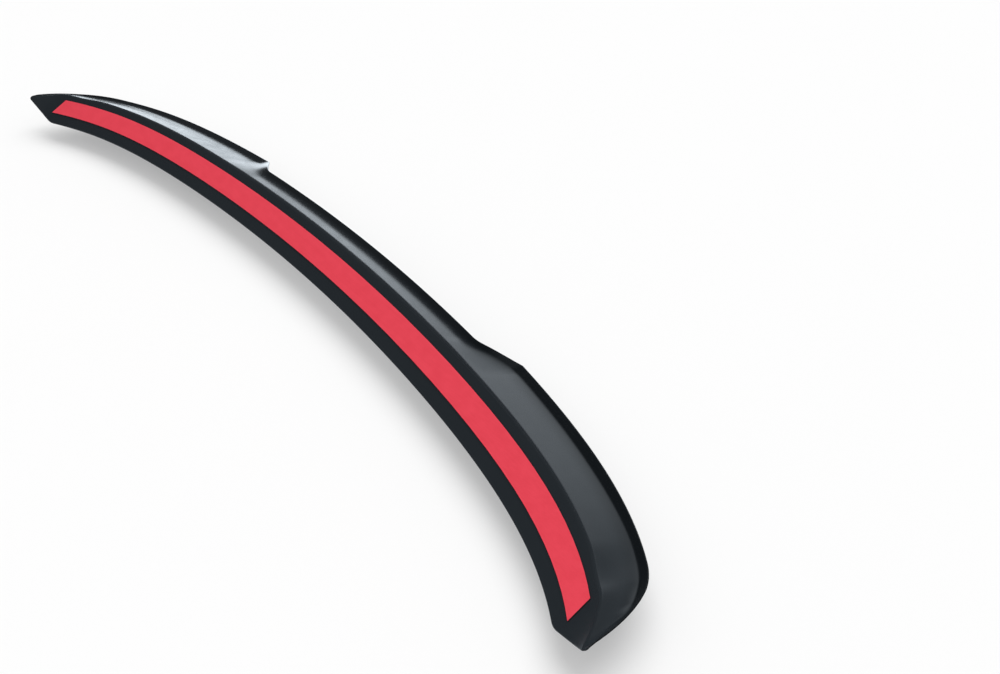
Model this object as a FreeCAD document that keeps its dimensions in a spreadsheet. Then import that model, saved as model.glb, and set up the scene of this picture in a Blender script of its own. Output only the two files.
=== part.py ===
# Stick-on tailgate spoiler: one moulding, a foam tape on its foot and the red film over the tape.
# Millimetres. X runs across the car, +Y towards its front, +Z up.
# The origin is the middle of the bonding plane.
import FreeCAD, Part
import math
import os

doc = FreeCAD.newDocument("tailgate_spoiler")
sheet = doc.addObject("Spreadsheet::Sheet", "sizes")

# An inset is measured inwards from the tip of the spoiler.
SIZES = [
    # plan of the front edge, rise and fall of the foot, width of the foot
    ("half_width", 630), ("front_sweep", 66), ("front_hook", 44), ("corner_turn", 32),
    ("foot_drop", 33), ("foot_dip", 22), ("tip_curl", 10), ("foot_width", 53), ("heel_inset", 55),
    ("heel_run", 53),
    # front rim, its bevel, and the facet that the bevel grows into at the front corner
    ("rim_height", 2.0), ("bevel_back", 0.8), ("bevel_rise", 0.5), ("facet_rise", 6.0), ("facet_back", 4.0),
    ("facet_inset", 63), ("facet_reach", 34), ("tip_bevel", 11), ("tip_bevel_inset", 28),
    ("tip_bevel_reach", 24),
    # crease line on the top
    ("crease_reach", 30), ("crease_near", 3), ("crease_rise", 5.1), ("crease_lift", 11.3),
    ("crease_sag", 1.0), ("crease_blend", 4), ("fade_start_inset", 190), ("fade_end_inset", 90),
    # trailing edge: low middle, raised wings, step between them
    ("mid_depth", 78), ("mid_rise", 23.4), ("wing_depth", 96), ("wing_taper", 7), ("wing_rise", 49.5),
    ("wing_fall", 8),
    ("step_inner", 232.5), ("step_outer", 280.4), ("step_run", 10),
    # corners and end of the plan outline
    ("corner_inset", 50), ("tip_back", 3), ("rear_inset", 42), ("end_bow", 8.3),
    ("step_round", 8), ("rear_round", 14), ("tip_round", 5), ("corner_round", 6), ("wing_round", 1.2),
    # overhanging lip with a flange of nearly even thickness, the land, below its rim
    ("rim_thickness", 2.4), ("land_thickness", 3.0), ("land_width", 10.5), ("land_blend", 4.5),
    ("land_inset", 10), ("heel_blend", 3), ("least_foot", 1.0), ("least_lip", 2.0), ("least_lift", 0.3),
    # bonding tape
    ("tape_width", 25), ("tape_margin", 16), ("tape_inset", 41.5), ("foam_thickness", 0.8),
    ("film_thickness", 0.2), ("tape_gap", 0.05),
    # stock left around the loft, cut away by the outline
    ("stock_front", 1.5), ("stock_rear", 6), ("stock_end", 3),
]
for row, (alias, value) in enumerate(SIZES, 1):
    sheet.set("A%d" % row, alias)
    sheet.set("B%d" % row, str(value))
    sheet.setAlias("B%d" % row, alias)
doc.recompute()
size = {alias: float(sheet.get(alias)) for alias, value in SIZES}

HALF = size["half_width"]
END = HALF + size["stock_end"]
WIDE = END + size["stock_end"]
CORNER = HALF - size["corner_inset"]
REAR = HALF - size["rear_inset"]
TAPE_MIDDLE = size["tape_margin"] + size["tape_width"] / 2     # behind the front edge


def point(x, y):
    return FreeCAD.Vector(x, y, 0)


def spread(start, end, count):
    return [start + (end - start) * k / (count - 1) for k in range(count)]


def ease(x, start, end):
    part = min(1.0, max(0.0, (x - start) / (end - start)))
    return part * part * (3 - 2 * part)


def bump(x, inset, reach):
    return math.exp(-((abs(x) - HALF + size[inset]) / size[reach])**2)


# Lines that run across the car, as functions of the place x.
def front_line(x):
    """Forward place of the swept front edge."""
    share = abs(x) / HALF
    return TAPE_MIDDLE + size["front_sweep"] * share**2 + size["front_hook"] * share**7


def front_edge(x):
    """Front edge of the outline: the swept line, then a straight end from the front corner to the tip."""
    past = max(0.0, abs(x) - CORNER)
    return front_line(min(abs(x), CORNER)) - size["tip_back"] * past / size["corner_inset"]


def guide_line(x):
    """Front line that turns smoothly past the front corner; distances behind the edge start here."""
    return front_line(x) - size["corner_turn"] * (abs(x) / HALF)**30


def foot_height(x):
    share = abs(x) / HALF
    fall = size["foot_drop"] * share**2 + size["foot_dip"] * share**6 + size["tip_curl"] * share**24
    return size["tape_gap"] + size["foam_thickness"] - fall


def wing_part(x):
    """Share of the way from the step to the rear corner."""
    return (abs(x) - size["step_outer"]) / (REAR - size["step_outer"])


def wing_depth(x):
    return size["wing_depth"] - size["wing_taper"] * wing_part(x)


def wing_rise(x):
    return size["wing_rise"] - size["wing_fall"] * (1 - max(0.0, 1 - max(0.0, wing_part(x)))**1.5)


def wing_share(x):
    return ease(abs(x), size["step_inner"] - size["step_run"], size["step_outer"] + size["step_run"])


# Plan outline.
def mirrored(p):
    return point(-p.x, p.y)


def rear_middle(x):
    return point(x, front_line(x) - size["mid_depth"])


def rear_wing(x):
    return point(x, front_line(x) - wing_depth(x))


def towards(a, b, distance):
    way = b - a
    return a + way.normalize() * distance


corner, tip, rear = point(CORNER, front_edge(CORNER)), point(HALF, front_edge(HALF)), rear_wing(REAR)
chord = tip - rear
bow = (rear + tip) * 0.5 + point(chord.y, -chord.x).normalize() * size["end_bow"]
end_arc, end_circle = Part.Arc(rear, bow, tip), Part.Circle(rear, bow, tip)


def rim_depth(x):
    """Distance of the trailing rim behind the guide line."""
    if abs(x) < REAR:
        depth = size["mid_depth"] + (wing_depth(x) - size["mid_depth"]) * wing_share(x)
        return depth + guide_line(x) - front_line(x)
    middle, across = end_circle.Center, abs(x) - end_circle.Center.x
    end_line = middle.y - math.sqrt(max(end_circle.Radius**2 - across**2, 0))
    return max(guide_line(x) - end_line, size["stock_rear"])


def line(a, b):
    return Part.LineSegment(a, b)


def bend(a, corner_point, b):
    curve = Part.BSplineCurve()
    curve.buildFromPolesMultsKnots([a, corner_point, b], [3, 3], [0.0, 1.0], False, 2)
    return curve


def through(points):
    curve = Part.BSplineCurve()
    curve.interpolate(points)
    return curve


def section(x):
    """Edges of the moulding's section at x, as sketch geometry in the plane of Y and Z."""
    share = abs(x) / HALF
    front = guide_line(x) - front_edge(x)
    start = front - size["stock_front"]

    # bevel or facet behind the front rim
    grown = bump(x, "facet_inset", "facet_reach")
    facet_top = size["rim_height"] + size["bevel_rise"] + size["facet_rise"] * grown
    facet_end = size["bevel_back"] + size["facet_back"] * grown
    facet_end += size["tip_bevel"] * bump(x, "tip_bevel_inset", "tip_bevel_reach")
    facet_slope = (facet_top - size["rim_height"]) / (facet_end - front)

    # apron up to the crease, then the ramp
    gap = size["crease_near"] + (size["crease_reach"] - size["crease_near"]) * max(0.0, 1 - share**8)
    reach = facet_end + gap
    low = size["crease_rise"] + size["crease_lift"] * share**2
    even_slope = (wing_rise(x) - facet_top) / (wing_depth(x) - facet_end)
    straight = facet_top + even_slope * gap - size["crease_sag"]
    faded = ease(abs(x), HALF - size["fade_start_inset"], HALF - size["fade_end_inset"])
    crease = low + (straight - low) * faded
    slope_mid = (size["mid_rise"] - crease) / (size["mid_depth"] - reach)
    slope_wing = (wing_rise(x) - crease) / (wing_depth(x) - reach)
    slope = slope_mid + (slope_wing - slope_mid) * wing_share(x)
    apron = (crease - facet_top) / gap

    def top(d):
        return crease + slope * (d - reach) if d > reach else facet_top + apron * (d - facet_end)

    # foot, lip and land
    past_heel = max(0.0, (abs(x) - HALF + size["heel_inset"]) / size["heel_run"])
    heel = max(size["foot_width"] * (1 - past_heel**2.3), start + size["least_foot"])
    past_rear = max(0.0, (abs(x) - REAR) / (size["rear_inset"] - size["land_inset"]))
    fade = max(0.0, 1 - past_rear**2)
    rim = rim_depth(x)
    back = max(rim, reach) + size["stock_rear"]
    land = max(rim - size["land_width"] * fade, heel + size["least_lip"])
    thinner = (size["land_thickness"] - size["rim_thickness"]) * fade
    land_low = max(top(land) - size["rim_thickness"] - thinner, size["least_lift"])
    land_slope = slope + thinner / size["land_width"]
    lip = FreeCAD.Vector(land - heel, land_low, 0)
    lip_length = lip.Length
    lip.normalize()

    def at(d, height):
        return FreeCAD.Vector(guide_line(x) - d, foot_height(x) + height, 0)

    soft = min(size["crease_blend"], 0.4 * gap, 0.4 * (back - reach))
    inner = min(size["land_blend"], 0.4 * lip_length, 0.5 * (back - land))
    outer = min(size["heel_blend"], 0.3 * lip_length, 0.4 * (heel - start))
    front_low, front_top = at(start, 0), at(start, size["rim_height"] - facet_slope * size["stock_front"])
    facet_edge = at(facet_end, facet_top)
    crease_a, crease_b = at(reach - soft, crease - apron * soft), at(reach + soft, crease + slope * soft)
    rear_top, rear_low = at(back, top(back)), at(back, land_low + land_slope * (back - land))
    land_a = at(land + inner, land_low + land_slope * inner)
    land_b = at(land - lip.x * inner, land_low - lip.y * inner)
    heel_a, heel_b = at(heel + lip.x * outer, lip.y * outer), at(heel - outer, 0)
    return [
        line(front_low, front_top), line(front_top, facet_edge), line(facet_edge, crease_a),
        bend(crease_a, at(reach, crease), crease_b), line(crease_b, rear_top), line(rear_top, rear_low),
        line(rear_low, land_a), bend(land_a, at(land, land_low), land_b), line(land_b, heel_a),
        bend(heel_a, at(heel, 0), heel_b), line(heel_b, front_low),
    ]


def outline():
    """Closed plan outline of the moulding with softened corners."""
    inner, outer = rear_middle(size["step_inner"]), rear_wing(size["step_outer"])
    end_a = end_arc.value(end_arc.parameterAtDistance(size["rear_round"], end_arc.FirstParameter))
    end_b = end_arc.value(end_arc.parameterAtDistance(-size["tip_round"], end_arc.LastParameter))
    front_end = CORNER - size["corner_round"]
    middle_end = inner.x - size["step_round"]
    wing_xs = spread(outer.x + size["wing_round"], rear.x - size["rear_round"], 11)
    side_a, side_b = towards(corner, tip, size["corner_round"]), towards(tip, corner, size["tip_round"])
    step_a, step_b = towards(inner, outer, size["step_round"]), towards(outer, inner, size["wing_round"])
    edges = [through([point(x, front_line(x)) for x in spread(-front_end, front_end, 25)]),
             through([rear_middle(x) for x in spread(-middle_end, middle_end, 9)])]
    for side in (lambda p: p, mirrored):
        edges += [
            bend(side(point(front_end, front_line(front_end))), side(corner), side(side_a)),
            line(side(side_a), side(side_b)), bend(side(side_b), side(tip), side(end_b)),
            Part.Arc(side(end_b), side(bow), side(end_a)),
            bend(side(end_a), side(rear), side(rear_wing(wing_xs[-1]))),
            through([side(rear_wing(x)) for x in wing_xs]),
            bend(side(rear_wing(wing_xs[0])), side(outer), side(step_b)), line(side(step_b), side(step_a)),
            bend(side(step_a), side(inner), side(rear_middle(middle_end))),
        ]
    return edges


def frame_lines():
    """Rectangle well outside the outline; what lies between the two is cut away."""
    wide, deep = 1.2 * HALF, 0.6 * HALF
    corners = [point(-wide, -deep), point(wide, -deep), point(wide, deep), point(-wide, deep)]
    return [line(corners[k], corners[(k + 1) % 4]) for k in range(4)]


def foot_curve(lower):
    return through([point(x, foot_height(x) - lower) for x in spread(-WIDE, WIDE, 41)])


# Bodies, sketches and cuts.
def new_body(name):
    body = doc.addObject("PartDesign::Body", name)
    body.Label = name
    return body


def sketch_on(body, name, role, geometry):
    sketch = body.newObject("Sketcher::SketchObject", name)
    sketch.AttachmentSupport = [(next(f for f in body.Origin.OriginFeatures if f.Role == role), "")]
    sketch.MapMode = "FlatFace"
    for curve in geometry:
        sketch.addGeometry(curve, False)
    sketch.Visibility = False
    return sketch


def through_cut(body, name, sketch):
    cut = body.newObject("PartDesign::Pocket", name)
    cut.Profile = sketch
    cut.Type = 1                   # through all
    cut.Midplane = True
    doc.recompute()
    return cut


# The moulding: a loft across the car, cut to the plan outline.
step_low, step_high = size["step_inner"] - size["step_run"], size["step_outer"] + size["step_run"]
half_stations = [step_low * s for s in (0, 0.31, 0.61, 0.83, 0.953)] + spread(step_low, step_high, 7)
for share in (0.04, 0.14, 0.31, 0.48, 0.6, 0.71, 0.79, 0.855, 0.915, 0.965):
    half_stations.append(step_high + (CORNER - step_high) * share)
for share in (0.04, 0.22, 0.4, 0.57, 0.72, 0.85, 0.95):
    half_stations.append(CORNER + (HALF - CORNER) * share)
half_stations.append(END)
spoiler = new_body("spoiler")
profiles = []
for k, x in enumerate(half_stations[:0:-1] + [-x for x in half_stations]):
    sketch = sketch_on(spoiler, "section_%02d" % k, "YZ_Plane", section(x))
    sketch.setExpression("AttachmentOffset.Base.z", "sizes.half_width * %.6f" % (x / HALF))
    profiles.append(sketch)
doc.recompute()
loft = spoiler.newObject("PartDesign::AdditiveLoft", "loft")
loft.Profile = profiles[0]
loft.Sections = profiles[1:]
loft.Ruled = False
doc.recompute()

plan_outline = sketch_on(spoiler, "plan_outline", "XY_Plane", outline() + frame_lines())
through_cut(spoiler, "outline_pocket", plan_outline)


# The tape and its film follow the foot: a band between two curves that run with the bonding face,
# cut to a strip in plan.
def strip_part(name, upper, thickness):
    body = new_body(name)
    tape_end = HALF - size["tape_inset"]
    lower = upper + size[thickness]
    top_end, low_end = foot_height(WIDE) - upper, foot_height(WIDE) - lower
    pad = body.newObject("PartDesign::Pad", name + "_pad")
    pad.Profile = sketch_on(body, name + "_band", "XZ_Plane", [
        foot_curve(upper), line(point(WIDE, top_end), point(WIDE, low_end)), foot_curve(lower),
        line(point(-WIDE, low_end), point(-WIDE, top_end))])
    pad.setExpression("Length", "sizes.half_width")
    pad.Midplane = True
    doc.recompute()
    ahead = [point(x, front_line(x) - size["tape_margin"]) for x in spread(-tape_end, tape_end, 25)]
    behind = [p - point(0, size["tape_width"]) for p in ahead]
    strip = [through(ahead), line(ahead[-1], behind[-1]), through(behind), line(behind[0], ahead[0])]
    through_cut(body, name + "_cut", sketch_on(body, name + "_plan", "XY_Plane", strip + frame_lines()))
    return body


foam_tape = strip_part("foam_tape", size["tape_gap"], "foam_thickness")
release_liner = strip_part("release_liner", size["tape_gap"] + size["foam_thickness"], "film_thickness")

for thing in doc.Objects:
    if "Invalid" in thing.State or "Error" in thing.State:
        raise RuntimeError("%s did not build: %s" % (thing.Name, thing.State))
os.makedirs("parts", exist_ok=True)
for body in (spoiler, foam_tape, release_liner):
    if body.Shape.isNull() or not body.Shape.isValid() or len(body.Shape.Solids) != 1:
        raise RuntimeError("%s is not one sound solid" % body.Label)
    body.Shape.exportStep("parts/%s.step" % body.Label)
    print(body.Label, round(body.Shape.Volume / 1000, 2), "cm3", body.Shape.BoundBox)
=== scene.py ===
import math
from types import SimpleNamespace

import bmesh
import bpy
import numpy as np
from mathutils import Matrix, Vector


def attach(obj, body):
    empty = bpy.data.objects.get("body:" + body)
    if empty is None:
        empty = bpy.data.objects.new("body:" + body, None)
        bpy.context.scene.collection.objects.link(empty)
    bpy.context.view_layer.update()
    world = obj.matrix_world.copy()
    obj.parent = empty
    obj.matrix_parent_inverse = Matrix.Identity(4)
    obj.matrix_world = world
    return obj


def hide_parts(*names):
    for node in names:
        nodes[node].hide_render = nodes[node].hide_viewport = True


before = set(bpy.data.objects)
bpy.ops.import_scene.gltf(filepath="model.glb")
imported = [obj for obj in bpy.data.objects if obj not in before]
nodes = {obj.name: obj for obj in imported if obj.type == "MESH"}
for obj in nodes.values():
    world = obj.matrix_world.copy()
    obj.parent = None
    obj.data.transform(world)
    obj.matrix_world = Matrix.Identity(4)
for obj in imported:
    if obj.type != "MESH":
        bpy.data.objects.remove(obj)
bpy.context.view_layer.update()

# The moulding lies turned over on the floor: UP is the floor's normal on the side of the viewer.
UP = Vector((0, -0.4983, -0.8670)).normalized()

# Sizes of the moulding in millimetres: the CAD form with its sharp edges rounded over.
# An inset is measured inwards from the tip, as are the starts and ends of a fade or turn.
# Front edge in plan, and the fall of the foot towards the tips.
HALF, CORNER, REAR = 630.0, 580.0, 588.0
FRONT_MIDDLE, FRONT_SWEEP, FRONT_HOOK, CORNER_TURN, TIP_BACK = 28.5, 66.0, 44.0, 32.0, 3.0
FOOT_LIFT, FOOT_DROP, FOOT_DIP, TIP_CURL, LAST_FOOT = 0.85, 33.0, 22.0, 10.0, 628.0
# Trailing edge: low middle, raised wings, the step between them and the bowed ends.
MID_DEPTH, MID_RISE = 78.0, 23.4
WING_DEPTH, WING_TAPER, WING_RISE, WING_FALL = 96.0, 7.0, 49.5, 8.0
STEP_IN, STEP_OUT, STEP_RUN, END_BOW = 232.5, 280.4, 10.0, 8.3
# Roundings of the plan's corners, in order from the front corner round the tip to the step.
CORNER_ROUND, TIP_ROUND, REAR_ROUND, WING_ROUND, STEP_ROUND = 6.0, 5.0, 14.0, 1.2, 8.0
# Front rim, and the facet that grows out of it at the front corner and the tip.
FRONT_RIM, BEVEL_TOP, BEVEL_BACK = 2.0, 2.5, 0.8
FACET_RISE, FACET_BACK, FACET_INSET, FACET_REACH = 6.0, 4.0, 63.0, 34.0
TIP_BEVEL, TIP_BEVEL_INSET, TIP_BEVEL_REACH = 11.0, 28.0, 24.0
# Crease along the top, which fades into a straight ramp towards the tips.
CREASE_NEAR, CREASE_REACH, CREASE_RISE, CREASE_LIFT, CREASE_SAG = 3.0, 30.0, 5.1, 11.3, 1.0
CREASE_FADE_START, CREASE_FADE_END, CREASE_BLEND = 190.0, 90.0, 4.0
# Foot with its heel, which turns in towards the tip.
FOOT_WIDTH, HEEL_TURN, HEEL_TURN_START, HEEL_TURN_END = 53.0, 5.5, 90.0, 38.0
HEEL_INSET, HEEL_RUN, HEEL_BLEND = 45.0, 43.0, 3.0
# Thin flange below the trailing rim, and the lip that leads up to it from the heel. The wing's extra width
# shrinks between WING_FLANGE_PLACE and the rear corner, and past the corner the flange runs out.
FLANGE_WIDTH, WING_FLANGE, WING_FLANGE_PLACE, FLANGE_RUN_OUT = 10.5, 2.5, 430.0, 25.0
FLANGE_THICKNESS, FLANGE_STEM, FLANGE_BLEND, LIP_BLEND = 2.4, 0.6, 5.0, 14.0
# Roundings of the section's ends, and of the rim where the wing turns into the end.
RIM_ROUND, FRONT_ROUND, END_ROUND = 0.8, 0.7, 22.0
# Least sizes that foot, lip and section keep at the tip.
LEAST_FOOT, LEAST_LIP, LEAST_LIFT, LEAST_DEPTH = 1.0, 2.0, 0.3, 6.0
# The section's lines start before the outline and run past it; the rounded form stays just inside it.
PAST_FRONT, PAST_REAR, INSIDE = 1.5, 6.0, 0.03


def ease(x, start, end):
    part = np.clip((x - start) / (end - start), 0, 1)
    return part * part * (3 - 2 * part)


def swell(x, inset, reach):
    return math.exp(-((x - HALF + inset) / reach)**2)


# Lines that run across the car, as functions of the distance x from the middle.
def front_line(x):
    share = x / HALF
    return FRONT_MIDDLE + FRONT_SWEEP * share**2 + FRONT_HOOK * share**7


def guide_line(x):
    """Front line that turns smoothly past the front corner; depths are measured behind it."""
    return front_line(x) - CORNER_TURN * (x / HALF)**30


def front_edge(x):
    return front_line(min(x, CORNER)) - TIP_BACK * max(0.0, x - CORNER) / (HALF - CORNER)


def foot_height(x):
    share = x / HALF
    return FOOT_LIFT - FOOT_DROP * share**2 - FOOT_DIP * share**6 - TIP_CURL * share**24


def wing_part(x):
    """Share of the way from the step to the rear corner."""
    return (x - STEP_OUT) / (REAR - STEP_OUT)


def wing_depth(x):
    return WING_DEPTH - WING_TAPER * wing_part(x)


def wing_rise(x):
    return WING_RISE - WING_FALL * (1 - max(0.0, 1 - max(0.0, wing_part(x)))**1.5)


def wing_share(x):
    """0 in the middle, 1 on the wing."""
    return ease(x, STEP_IN - STEP_RUN, STEP_OUT + STEP_RUN)


# Points of the plan.
def front_point(x):
    return x, front_line(x)


def wing_point(x):
    return x, front_line(x) - wing_depth(x)


def middle_point(x):
    return x, front_line(x) - MID_DEPTH


def run(point, start, end, count):
    return np.array([point(x) for x in np.linspace(start, end, count)])


def bend(a, b, c, count):
    """Rounding from a to c that leaves the corner b outside."""
    t = np.linspace(0, 1, count)[:, None]
    return (1 - t)**2 * np.array(a) + 2 * t * (1 - t) * np.array(b) + t**2 * np.array(c)


def along(a, b, distance):
    a, b = np.array(a), np.array(b)
    return a + (b - a) * distance / np.linalg.norm(b - a)


corner, tip = (CORNER, front_edge(CORNER)), (HALF, front_edge(HALF))
rear, outer, inner = wing_point(REAR), wing_point(STEP_OUT), middle_point(STEP_IN)

# Circle of the bowed end, from the rear corner to the tip.
chord = np.array(tip) - rear
end_radius = (np.linalg.norm(chord)**2 / 4 + END_BOW**2) / (2 * END_BOW)
outwards = np.array((chord[1], -chord[0])) / np.linalg.norm(chord)
end_centre = (np.array(tip) + rear) / 2 + outwards * (END_BOW - end_radius)


def bearing(point):
    away = np.array(point) - end_centre
    return math.atan2(away[1], away[0])


def end_arc():
    start, end = bearing(tip) - TIP_ROUND / end_radius, bearing(rear) + REAR_ROUND / end_radius
    angles = np.linspace(start, end, 60)
    return end_centre + end_radius * np.c_[np.cos(angles), np.sin(angles)]


def plan_outline():
    """Outline of one half, from the front middle round the tip to the rear middle."""
    arc = end_arc()
    front_last, middle_last = CORNER - CORNER_ROUND, STEP_IN - STEP_ROUND
    wing_last, wing_first = REAR - REAR_ROUND, STEP_OUT + WING_ROUND
    return np.concatenate([
        run(front_point, 0, front_last, 200),
        bend(front_point(front_last), corner, along(corner, tip, CORNER_ROUND), 12),
        bend(along(tip, corner, TIP_ROUND), tip, arc[0], 40),
        arc,
        bend(arc[-1], rear, wing_point(wing_last), 20),
        run(wing_point, wing_last, wing_first, 120),
        bend(wing_point(wing_first), outer, along(outer, inner, WING_ROUND), 8),
        bend(along(inner, outer, STEP_ROUND), inner, middle_point(middle_last), 20),
        run(middle_point, middle_last, 0, 80),
    ])


outline = plan_outline()
turn_at = int(np.argmax(outline[:, 0]))
front_path, rear_path = outline[:turn_at + 1], outline[turn_at:][::-1]
END = outline[turn_at, 0]


def sharp_rim(x):
    if x < REAR:
        depth = MID_DEPTH + (wing_depth(x) - MID_DEPTH) * wing_share(x)
        return depth + guide_line(x) - front_line(x)
    end_line = end_centre[1] - math.sqrt(max(end_radius**2 - (x - end_centre[0])**2, 0))
    return max(guide_line(x) - end_line, LEAST_DEPTH)


def rim_depth(x):
    """Depth of the trailing rim, with the turn from the wing's edge into the end rounded over."""
    reach = max(0.0, min(END_ROUND, END - x))
    part = np.linspace(-0.95, 0.95, 20)
    return float(np.average([sharp_rim(x + reach * step) for step in part], weights=1 - abs(part)))


def top_form(x):
    """Corners and slopes of the top at x: facet, apron up to the crease, ramp behind it."""
    share = x / HALF
    grown = swell(x, FACET_INSET, FACET_REACH)
    facet_top = BEVEL_TOP + FACET_RISE * grown
    facet_end = BEVEL_BACK + FACET_BACK * grown + TIP_BEVEL * swell(x, TIP_BEVEL_INSET, TIP_BEVEL_REACH)
    gap = CREASE_NEAR + (CREASE_REACH - CREASE_NEAR) * max(0.0, 1 - share**8)
    reach = facet_end + gap
    low = CREASE_RISE + CREASE_LIFT * share**2
    ramp = (wing_rise(x) - facet_top) / (wing_depth(x) - facet_end)
    straight = facet_top + ramp * gap - CREASE_SAG
    crease = low + (straight - low) * ease(x, HALF - CREASE_FADE_START, HALF - CREASE_FADE_END)
    slope_mid = (MID_RISE - crease) / (MID_DEPTH - reach)
    slope_wing = (wing_rise(x) - crease) / (wing_depth(x) - reach)
    return SimpleNamespace(
        front=guide_line(x) - front_edge(x), facet_end=facet_end, facet_top=facet_top, gap=gap,
        reach=reach, crease=crease, apron=(crease - facet_top) / gap,
        slope=slope_mid + (slope_wing - slope_mid) * wing_share(x))


def top_height(top, depth):
    """Height of the top at a depth, with its crease left sharp."""
    if depth > top.reach:
        return top.crease + top.slope * (depth - top.reach)
    return top.facet_top + top.apron * (depth - top.facet_end)


def top_line(top, start, back):
    """Upper line of the section: facet, apron, rounded crease and ramp."""
    facet_slope = (top.facet_top - FRONT_RIM) / (top.facet_end - top.front)
    first = (start, FRONT_RIM + facet_slope * (start - top.front))
    facet = (top.facet_end, top.facet_top)
    soft = min(CREASE_BLEND, 0.4 * top.gap, 0.4 * (back - top.reach))
    before = (top.reach - soft, top.crease - top.apron * soft)
    after = (top.reach + soft, top.crease + top.slope * soft)
    return np.concatenate([
        np.linspace(first, facet, 6)[:-1],
        np.linspace(facet, before, 9)[:-1],
        bend(before, (top.reach, top.crease), after, 9),
        np.linspace(after, (back, top_height(top, back)), 16)[1:],
    ])


def heel_depth(x, start):
    past = max(0.0, (x - HALF + HEEL_INSET) / HEEL_RUN)
    turn = HEEL_TURN * ease(x, HALF - HEEL_TURN_START, HALF - HEEL_TURN_END)
    return max(FOOT_WIDTH - turn - (FOOT_WIDTH - HEEL_TURN) * past**2.3, start + LEAST_FOOT)


def under_line(x, top, start, rim, back):
    """Lower line of the section, foot, heel, lip and flange, with the satin share of its points."""
    heel = heel_depth(x, start)
    fade = max(0.0, 1 - max(0.0, (x - REAR) / FLANGE_RUN_OUT)**2)
    width = FLANGE_WIDTH + WING_FLANGE * wing_share(x) * (1 - ease(x, WING_FLANGE_PLACE, REAR))
    edge = max(rim - width * fade, heel + LEAST_LIP)
    stem = FLANGE_STEM * fade
    edge_height = max(top_height(top, edge) - FLANGE_THICKNESS - stem, LEAST_LIFT)
    flange_slope = top.slope + stem / FLANGE_WIDTH
    lip_length = math.hypot(edge - heel, edge_height)
    lip = np.array((edge - heel, edge_height)) / lip_length

    heel_blend = min(HEEL_BLEND, 0.3 * lip_length, 0.4 * (heel - start))
    lip_blend, flange_blend = min(LIP_BLEND, 0.45 * lip_length), min(FLANGE_BLEND, 0.4 * (back - edge))
    foot_end, lip_start = (heel - heel_blend, 0.0), (heel, 0) + lip * heel_blend
    lip_end = (edge, edge_height) - lip * lip_blend
    flange_start = (edge + flange_blend, edge_height + flange_slope * flange_blend)
    flange_end = (back, edge_height + flange_slope * (back - edge))
    parts = [
        (np.linspace((start, 0), foot_end, 9)[:-1], 1.0),
        (bend(foot_end, (heel, 0), lip_start, 9)[:-1], 1.0),
        (np.linspace(lip_start, lip_end, 7)[:-1], 1.0),
        (bend(lip_end, (edge, edge_height), flange_start, 13)[:-1], np.linspace(1, 0, 12)),
        (np.linspace(flange_start, flange_end, 6), 0.0),
    ]
    satin = [np.broadcast_to(share, len(points)) for points, share in parts]
    return np.concatenate([points for points, share in parts]), np.concatenate(satin)


def level(line, depth):
    return np.interp(depth, line[:, 0], line[:, 1])


def cut(line, low_end, high_end):
    depth = np.clip(line[:, 0], low_end, high_end)
    return np.c_[depth, level(line, depth)]


def ring(x):
    """Rows of depth, height, satin share and flange share, in order round the section at x."""
    top, rim = top_form(x), rim_depth(x)
    start, back = top.front - PAST_FRONT, max(rim, top.reach) + PAST_REAR
    over = top_line(top, start, back)
    under, satin = under_line(x, top, start, rim, back)

    # both lines are cut to the plan outline, and their ends are joined by roundings
    first = guide_line(x) - level(front_path, x) + INSIDE
    last = guide_line(x) - level(rear_path, x) - INSIDE
    span = max(last - first, 0.02)
    front_round, rim_round = min(FRONT_ROUND, 0.3 * span), min(RIM_ROUND, 0.3 * span)
    front_low, front_high = level(under, first), level(over, first)
    rear_low, rear_high = level(under, last), level(over, last)
    front_up = min(front_round, 0.4 * max(front_high - front_low, 0.01))
    rear_up = min(rim_round, 0.4 * max(rear_high - rear_low, 0.01))
    low_run = cut(under, first + front_round, last - rim_round)
    high_run = cut(over, first + front_round, last - rim_round)[::-1]
    under_front, over_front = (first, front_low + front_up), (first, front_high - front_up)
    under_rim, over_rim = (last, rear_low + rear_up), (last, rear_high - rear_up)
    pieces = [
        (bend(under_front, (first, front_low), low_run[0], 6)[:-1], 1.0, 0.0),
        (low_run, satin, 1 - satin),
        (bend(low_run[-1], (last, rear_low), under_rim, 6)[1:], 0.0, 1.0),
        (bend(over_rim, (last, rear_high), high_run[0], 6)[:-1], 0.0, np.linspace(1, 0, 5)),
        (high_run, 0.0, 0.0),
        (bend(high_run[-1], (first, front_high), over_front, 6)[1:], 0.0, 0.0),
    ]
    rows = []
    for points, *shares in pieces:
        rows.append(np.column_stack([points] + [np.broadcast_to(share, len(points)) for share in shares]))
    return np.concatenate(rows)


def stations():
    """Places of the sections across the car, closer together at the step and towards the tips."""
    tail = END - 0.05 - (END - 615.0) * np.linspace(1, 0, 30)**2
    spans = ((0, 215, 56), (215, 300, 62), (300, 555, 68), (555, tail[0], 46))
    half = np.concatenate([np.linspace(*span)[:-1] for span in spans] + [tail])
    return np.concatenate([-half[:0:-1], half])


def even_shading(mesh):
    """Smooth normals that follow the wider faces, so that narrow roundings don't bend their neighbours."""
    normals = np.zeros((len(mesh.vertices), 3))
    for face in mesh.polygons:
        normals[list(face.vertices)] += np.array(face.normal) * face.area
    mesh.shade_smooth()
    mesh.normals_split_custom_set_from_vertices(normals / np.linalg.norm(normals, axis=1, keepdims=True))


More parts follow.
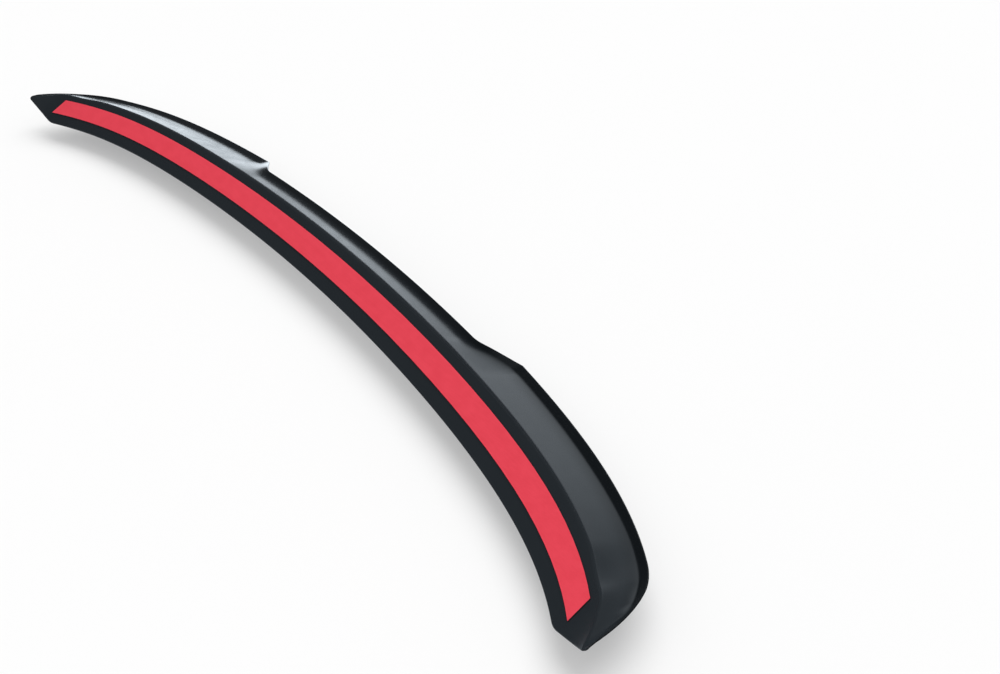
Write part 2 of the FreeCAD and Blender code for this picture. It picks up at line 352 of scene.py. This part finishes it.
def moulding_mesh():
    """Closed skin through all sections, with the satin and flange shares kept at its points."""
    places, satin, flange = [], [], []
    across = stations()
    for x in across:
        section = ring(abs(x))
        line, foot = guide_line(abs(x)), foot_height(min(abs(x), LAST_FOOT))
        places += [(x / 1000, (line - row[0]) / 1000, (foot + row[1]) / 1000) for row in section]
        satin += list(section[:, 2])
        flange += list(section[:, 3])
    count = len(section)
    last = (len(across) - 1) * count
    faces = []
    for first in range(0, last, count):
        for i in range(count):
            j = (i + 1) % count
            faces.append((first + i, first + j, first + count + j, first + count + i))
    faces += [tuple(range(count)), tuple(range(last, last + count))]
    mesh = bpy.data.meshes.new("moulding")
    mesh.from_pydata(places, [], faces)
    # the flange share is also the mask for the painted shade on the flange in body_plastic
    for name, shares in (("satin", satin), ("flange", flange)):
        mesh.attributes.new(name, "FLOAT", "POINT").data.foreach_set("value", shares)
    return mesh


def moulding():
    mesh = moulding_mesh()
    work = bmesh.new()
    work.from_mesh(mesh)
    bmesh.ops.remove_doubles(work, verts=work.verts, dist=2e-6)
    bmesh.ops.dissolve_degenerate(work, edges=work.edges, dist=1e-6)
    bmesh.ops.recalc_face_normals(work, faces=work.faces)
    work.to_mesh(mesh)
    work.free()
    even_shading(mesh)
    thing = bpy.data.objects.new("moulding", mesh)
    bpy.context.scene.collection.objects.link(thing)
    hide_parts("spoiler")
    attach(thing, "root")
    return thing


class Tree:
    """Short ways to add nodes to a material's or the world's node tree."""

    def __init__(self, tree):
        self.tree = tree
        tree.nodes.clear()

    def add(self, kind, settings=None, **values):
        node = self.tree.nodes.new(kind)
        for name, value in (settings or {}).items():
            setattr(node, name, value)
        for name, value in values.items():
            self.put(node, name, value)
        return node

    def put(self, node, name, value):
        """Set or link an input by its name, or by i and its number."""
        numbered = name[0] == "i" and name[1:].isdigit()
        socket = node.inputs[int(name[1:])] if numbered else node.inputs[name]
        if isinstance(value, bpy.types.NodeSocket):
            self.tree.links.new(value, socket)
        else:
            socket.default_value = value

    def math(self, operation, a, b=0.0, c=0.0):
        return self.add("ShaderNodeMath", {"operation": operation}, i0=a, i1=b, i2=c).outputs[0]

    def between(self, value, low, high, to_low=0.0, to_high=1.0):
        node = self.add("ShaderNodeMapRange", {"interpolation_type": "SMOOTHSTEP"})
        for k, entry in enumerate((value, low, high, to_low, to_high)):
            self.put(node, "i%d" % k, entry)
        return node.outputs[0]

    def noise(self, vector, scale, detail):
        return self.add("ShaderNodeTexNoise", Vector=vector, Scale=scale, Detail=detail).outputs[0]

    def mix(self, share, a, b):
        return self.add("ShaderNodeMix", {"data_type": "FLOAT"}, i0=share, i2=a, i3=b).outputs[0]

    def mix_colours(self, share, a, b):
        return self.add("ShaderNodeMix", {"data_type": "RGBA"}, i0=share, i6=a, i7=b).outputs[2]

    def colour(self, share, a, b):
        return self.mix_colours(share, (*a, 1), (*b, 1))

    def mix_shaders(self, share, a, b):
        return self.add("ShaderNodeMixShader", i0=share, i1=a, i2=b).outputs[0]

    def stretched(self, vector, scale):
        return self.add("ShaderNodeMapping", Vector=vector, Scale=scale).outputs[0]

    def bump(self, height, strength, distance):
        return self.add("ShaderNodeBump", Height=height, Strength=strength, Distance=distance).outputs[0]

    def attribute(self, name):
        return self.add("ShaderNodeAttribute", {"attribute_name": name}).outputs["Fac"]

    def place(self):
        return self.add("ShaderNodeTexCoord").outputs["Object"]


def new_material(name):
    material = bpy.data.materials.new(name)
    material.use_nodes = True
    return material, Tree(material.node_tree)


def surface(tree, **values):
    shader = tree.add("ShaderNodeBsdfPrincipled")
    for name, value in values.items():
        tree.put(shader, name.replace("_", " "), value)
    tree.add("ShaderNodeOutputMaterial", Surface=shader.outputs[0])


def body_plastic():
    """Gloss black with a faint orange peel: satin on foot and lip, and a darker black painted on the flange
    as shade.
    """
    material, t = new_material("body_plastic")
    place, satin, flange = t.place(), t.attribute("satin"), t.attribute("flange")
    cloud = t.noise(place, 9.0, 3.0)
    grain = t.noise(place, 2600.0, 2.0)
    peel = t.noise(place, 420.0, 1.0)
    plain = t.colour(cloud, (0.0150, 0.0190, 0.0230), (0.0175, 0.0220, 0.0265))
    # painted shade: the flange and the rim's rounding get a darker base colour that stands in for the shade
    # in that recess
    painted_flange_shade = t.colour(cloud, (0.0040, 0.0053, 0.0065), (0.0054, 0.0069, 0.0084))
    dull = t.between(t.noise(place, 60.0, 4.0), 0.3, 0.7, 0.22, 0.27)
    shine = t.between(t.noise(place, 35.0, 4.0), 0.3, 0.7, 0.11, 0.16)
    texture = t.bump(t.mix(satin, peel, grain), 0.02, 0.0004)
    surface(t, Base_Color=t.mix_colours(flange, plain, painted_flange_shade), Roughness=t.mix(satin, shine, dull),
            Normal=texture, IOR=1.5)
    return material


def foam():
    """Dull closed-cell foam."""
    material, t = new_material("foam")
    place = t.place()
    cells = t.add("ShaderNodeTexVoronoi", Vector=place, Scale=2200.0).outputs[0]
    cloud = t.noise(place, 120.0, 3.0)
    colour = t.colour(cloud, (0.024, 0.024, 0.026), (0.040, 0.040, 0.042))
    rough = t.between(cloud, 0.3, 0.7, 0.85, 0.95)
    surface(t, Base_Color=colour, Roughness=rough, Normal=t.bump(cells, 0.3, 0.0003))
    return material


def red_film():
    """Thin red release film: soft sheen, faint streaks along the roll, slight waves."""
    material, t = new_material("red_film")
    place = t.place()
    streaks = t.noise(t.stretched(place, (6.0, 900.0, 900.0)), 1.0, 3.0)
    waves = t.noise(t.stretched(place, (60.0, 90.0, 60.0)), 1.0, 2.0)
    shade = t.between(t.mix(0.5, streaks, waves), 0.3, 0.7)
    colour = t.colour(shade, (0.790, 0.043, 0.073), (0.840, 0.052, 0.086))
    rough = t.between(streaks, 0.3, 0.7, 0.40, 0.52)
    surface(t, Base_Color=colour, Roughness=rough, Normal=t.bump(waves, 0.05, 0.002), IOR=1.45)
    return material


gloss_black = body_plastic()
looks = {
    nodes["spoiler"]: gloss_black,
    nodes["foam_tape"]: foam(),
    nodes["release_liner"]: red_film(),
    moulding(): gloss_black,
}
for thing, material in looks.items():
    thing.data.materials.clear()
    thing.data.materials.append(material)


# Stage: a pale floor that the part lies on, seen from the viewer's side only. Sizes in metres.
FLOOR_HALF, FLOOR_GAP, LOWER_FLOOR_GAP = 15.0, 0.022, 0.001
FLOOR_GLOW = 0.33


def floor_material():
    """Pale matt floor with a share of plain white, which keeps the shadow light; clear from behind."""
    material, t = new_material("floor_white")
    colour = t.colour(t.noise(t.place(), 3.0, 2.0), (0.835, 0.835, 0.835), (0.845, 0.845, 0.845))
    diffuse = t.add("ShaderNodeBsdfDiffuse", Color=colour).outputs[0]
    white = t.add("ShaderNodeEmission", Color=(1, 1, 1, 1), Strength=1.0).outputs[0]
    clear = t.add("ShaderNodeBsdfTransparent").outputs[0]
    behind = t.add("ShaderNodeNewGeometry").outputs["Backfacing"]
    pale = t.mix_shaders(FLOOR_GLOW, diffuse, white)
    t.add("ShaderNodeOutputMaterial", Surface=t.mix_shaders(behind, pale, clear))
    return material


def floor(name, normal, gap, material):
    """Wide plane under the part, seen against the normal, with a gap below its lowest point."""
    reach = max(-normal.dot(v.co) for v in nodes["spoiler"].data.vertices) + gap
    corners = [(x * FLOOR_HALF, y * FLOOR_HALF, 0) for x, y in ((-1, -1), (1, -1), (1, 1), (-1, 1))]
    mesh = bpy.data.meshes.new(name)
    mesh.from_pydata(corners, [], [(0, 1, 2, 3)])
    mesh.materials.append(material)
    thing = bpy.data.objects.new(name, mesh)
    bpy.context.scene.collection.objects.link(thing)
    thing.rotation_mode = "QUATERNION"
    thing.rotation_quaternion = normal.to_track_quat("Z", "Y")
    thing.location = normal * -reach
    thing.visible_shadow = thing.visible_diffuse = False
    thing.visible_glossy = thing.visible_transmission = False


white_floor = floor_material()
floor("floor", UP, FLOOR_GAP, white_floor)
floor("floor_below", Vector((0, 0, 1)), LOWER_FLOOR_GAP, white_floor)


def mirrored_studio(t):
    """Strength of what gloss surfaces mirror: a light band round the part, dark above and below it."""
    way = t.add("ShaderNodeTexCoord").outputs["Generated"]
    height = t.add("ShaderNodeVectorMath", {"operation": "DOT_PRODUCT"}, i0=way, i1=UP).outputs["Value"]
    x, y = t.add("ShaderNodeSeparateXYZ", Vector=way).outputs[:2]
    across = t.math("ABSOLUTE", x)
    overhead = t.between(y, -0.5, 0.5, 0.05, 0.35)
    lower_edge = t.between(height, -0.42, -0.22, overhead, 1.0)
    rising = t.math("MULTIPLY_ADD", across, 1.36, height)
    upper_edge = t.between(rising, 1.178, 1.318, 1.0, 0.03)
    band = t.math("MULTIPLY", lower_edge, upper_edge)
    # the band is dim before and behind the car and brightest at its sides, towards the rear
    side = t.between(y, -0.30, -0.05, 2.7, 1.0)
    near = t.between(across, 0.28, 0.58, 0.2, 1.0)
    far = t.between(across, 0.66, 0.80, 0.80, side)
    return t.math("MULTIPLY", band, t.math("MULTIPLY", near, far))


def sky():
    """Even soft light, plain white to the camera, with the studio that gloss surfaces mirror."""
    world = bpy.data.worlds.new("studio")
    bpy.context.scene.world = world
    world.use_nodes = True
    t = Tree(world.node_tree)
    rays = t.add("ShaderNodeLightPath").outputs
    even = t.add("ShaderNodeBackground", Color=(1, 1, 1, 1), Strength=0.6).outputs[0]
    white = t.add("ShaderNodeBackground", Color=(1, 1, 1, 1), Strength=1.0).outputs[0]
    studio = t.add("ShaderNodeBackground", Color=(0.85, 0.93, 1, 1), Strength=mirrored_studio(t)).outputs[0]
    light = t.mix_shaders(rays["Is Glossy Ray"], even, studio)
    t.add("ShaderNodeOutputWorld", Surface=t.mix_shaders(rays["Is Camera Ray"], light, white))


def sun(name, towards, strength, angle):
    lamp = bpy.data.lights.new(name, "SUN")
    lamp.energy = strength
    lamp.angle = math.radians(angle)
    thing = bpy.data.objects.new(name, lamp)
    bpy.context.scene.collection.objects.link(thing)
    thing.rotation_mode = "QUATERNION"
    thing.rotation_quaternion = towards.to_track_quat("Z", "Y")
    thing.visible_glossy = False


# Light: the sky, and a wide soft sun over either side of the part.
sky()
along_floor = Vector((0, 0.867, -0.4983))
sun("sun_over_foot", UP * 0.90 - along_floor * 0.36 - Vector((0.25, 0, 0)), 2.0, 65.0)
sun("sun_over_top", Vector((-0.25, 0.2, 0.95)), 1.7, 40.0)


def photograph_camera():
    """Camera at the photograph's viewing angle."""
    right = Vector((0.5633, -0.7164, 0.4118))
    down = Vector((0.4474, 0.6834, 0.5769))
    ahead = Vector((-0.6947, -0.1408, 0.7054))
    place = (1.2084, 0.1358, -0.9533)
    lens = bpy.data.cameras.new("camera")
    lens.lens, lens.sensor_width, lens.sensor_fit = 50.0, 36.0, "HORIZONTAL"
    camera = bpy.data.objects.new("camera", lens)
    bpy.context.scene.collection.objects.link(camera)
    turn = Matrix((right, -down, -ahead)).transposed()
    camera.matrix_world = Matrix.Translation(place) @ turn.to_4x4()
    return camera


bpy.context.scene.camera = photograph_camera()
bpy.context.scene.view_settings.view_transform = "Standard"
